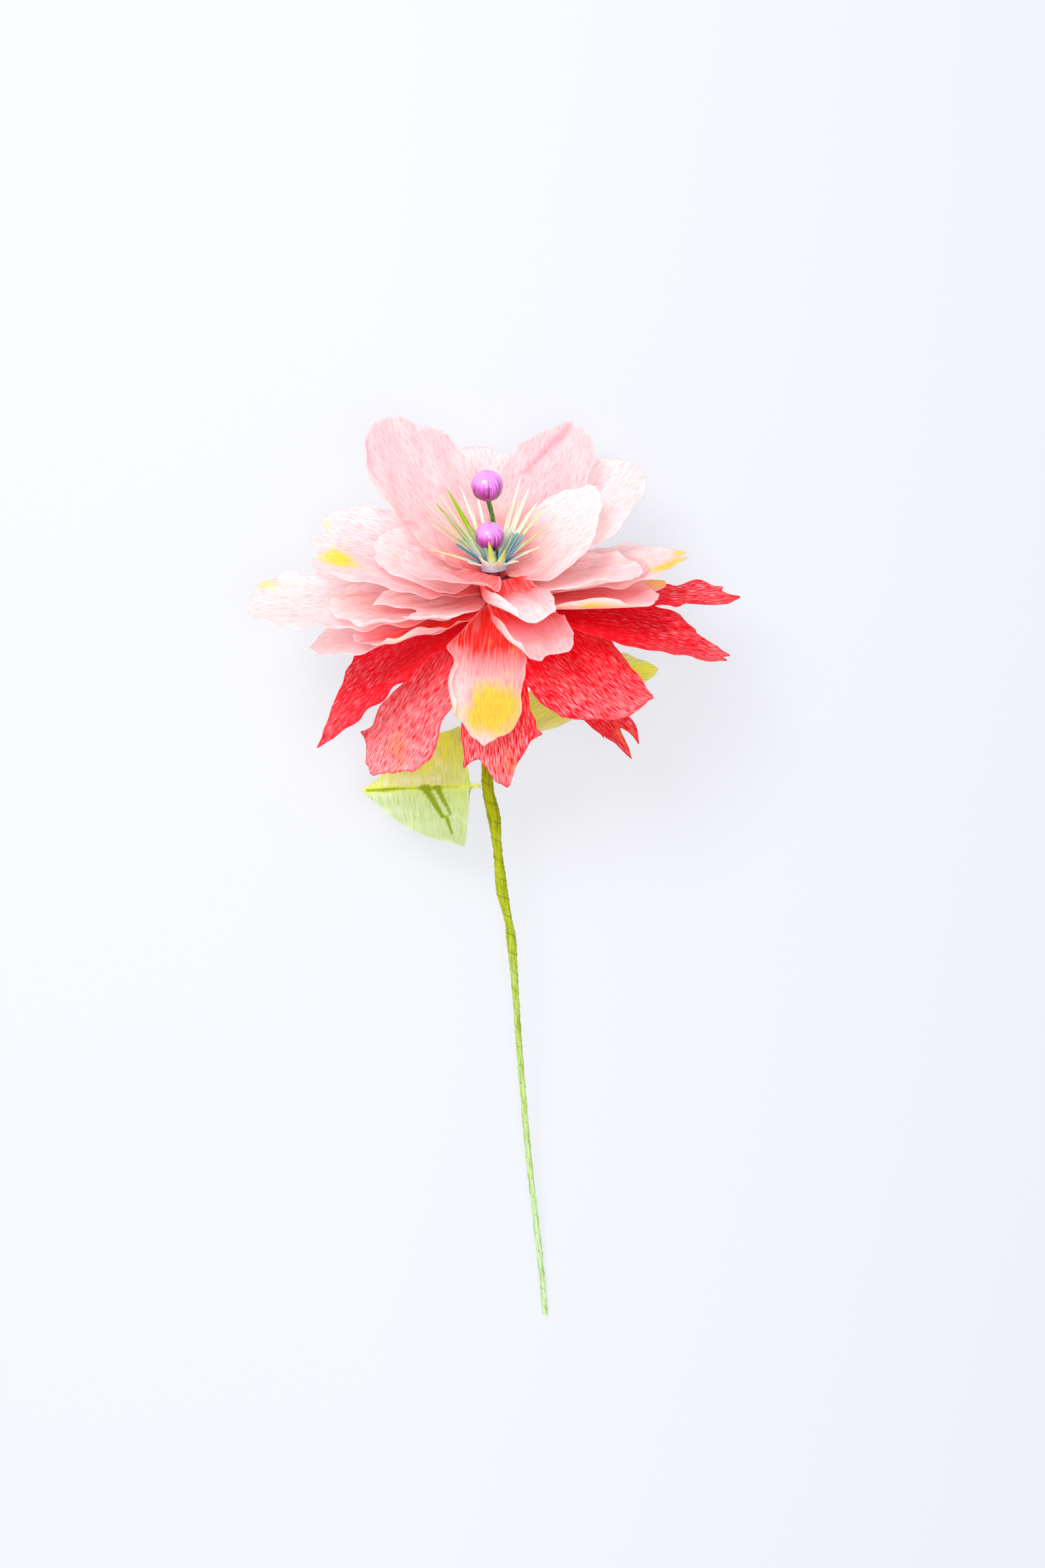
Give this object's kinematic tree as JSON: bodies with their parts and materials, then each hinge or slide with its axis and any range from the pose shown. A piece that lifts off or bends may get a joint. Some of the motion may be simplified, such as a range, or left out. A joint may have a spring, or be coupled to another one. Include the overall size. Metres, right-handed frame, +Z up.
{
  "type": "paper flower",
  "caption": "Crepe-paper flower with pink and red petals, glossy purple balls in a cut fringe, and a long wrapped wire stem with leaves, lying flat.",
  "frame": {"origin": "centre of the bounding box at the level of the surface that the flower lies on", "axes": "+Y from the stem's lower end towards the head, +X to the right seen from above, +Z up; the head faces along +Y and tilts up"},
  "size_m": [0.1874, 0.3486, 0.1074],
  "materials": {
    "pink_crepe": "matt crepe paper, translucent",
    "red_crepe": "matt crepe paper with pale streaks",
    "green_crepe": "matt crepe paper strip, wound",
    "leaf_crepe": "matt crepe paper, brushed with colour",
    "dark_green_paper": "waxed paper over wire",
    "blue_paper": "dyed paper strip, waxed",
    "white_paper": "dyed paper strip",
    "purple_gloss": "glossy coating over a bead",
    "steel_wire": "drawn wire"
  },
  "bodies": {
    "root": {"ball_lower": "purple_gloss", "ball_upper": "purple_gloss", "binding": "green_crepe", "fringe_blue": "blue_paper", "fringe_filaments": "white_paper", "fringe_white": "white_paper", "leaf_left": "leaf_crepe", "leaf_right": "leaf_crepe", "pink_back_left": "pink_crepe", "pink_back_middle": "pink_crepe", "pink_back_right": "pink_crepe", "pink_boat_left": "pink_crepe", "pink_boat_right": "pink_crepe", "pink_broad_left": "pink_crepe", "pink_cream_boat": "pink_crepe", "pink_cream_left": "pink_crepe", "pink_cupped_right": "pink_crepe", "pink_forked_left": "pink_crepe", "pink_front_inner": "pink_crepe", "pink_front_left": "pink_crepe", "pink_front_outer": "pink_crepe", "pink_mid_right": "pink_crepe", "pink_orange_tip": "pink_crepe", "pink_pale_left": "pink_crepe", "pink_pale_right": "pink_crepe", "pink_striped_right": "pink_crepe", "pink_tall_left": "pink_crepe", "pink_tall_middle": "pink_crepe", "pink_tall_right": "pink_crepe", "pink_tongue": "pink_crepe", "pink_white_tip": "pink_crepe", "pink_yellow_fork": "pink_crepe", "pink_yellow_spot": "pink_crepe", "red_back": "red_crepe", "red_back_left": "red_crepe", "red_back_right": "red_crepe", "red_broad_right": "red_crepe", "red_fork": "red_crepe", "red_front": "red_crepe", "red_front_left": "red_crepe", "red_left": "red_crepe", "red_long_right": "red_crepe", "red_narrow_right": "red_crepe", "stalk_lower": "dark_green_paper", "stalk_upper": "dark_green_paper", "stem_wire": "steel_wire", "stem_wrap": "green_crepe"}
  },
  "joints": []
}
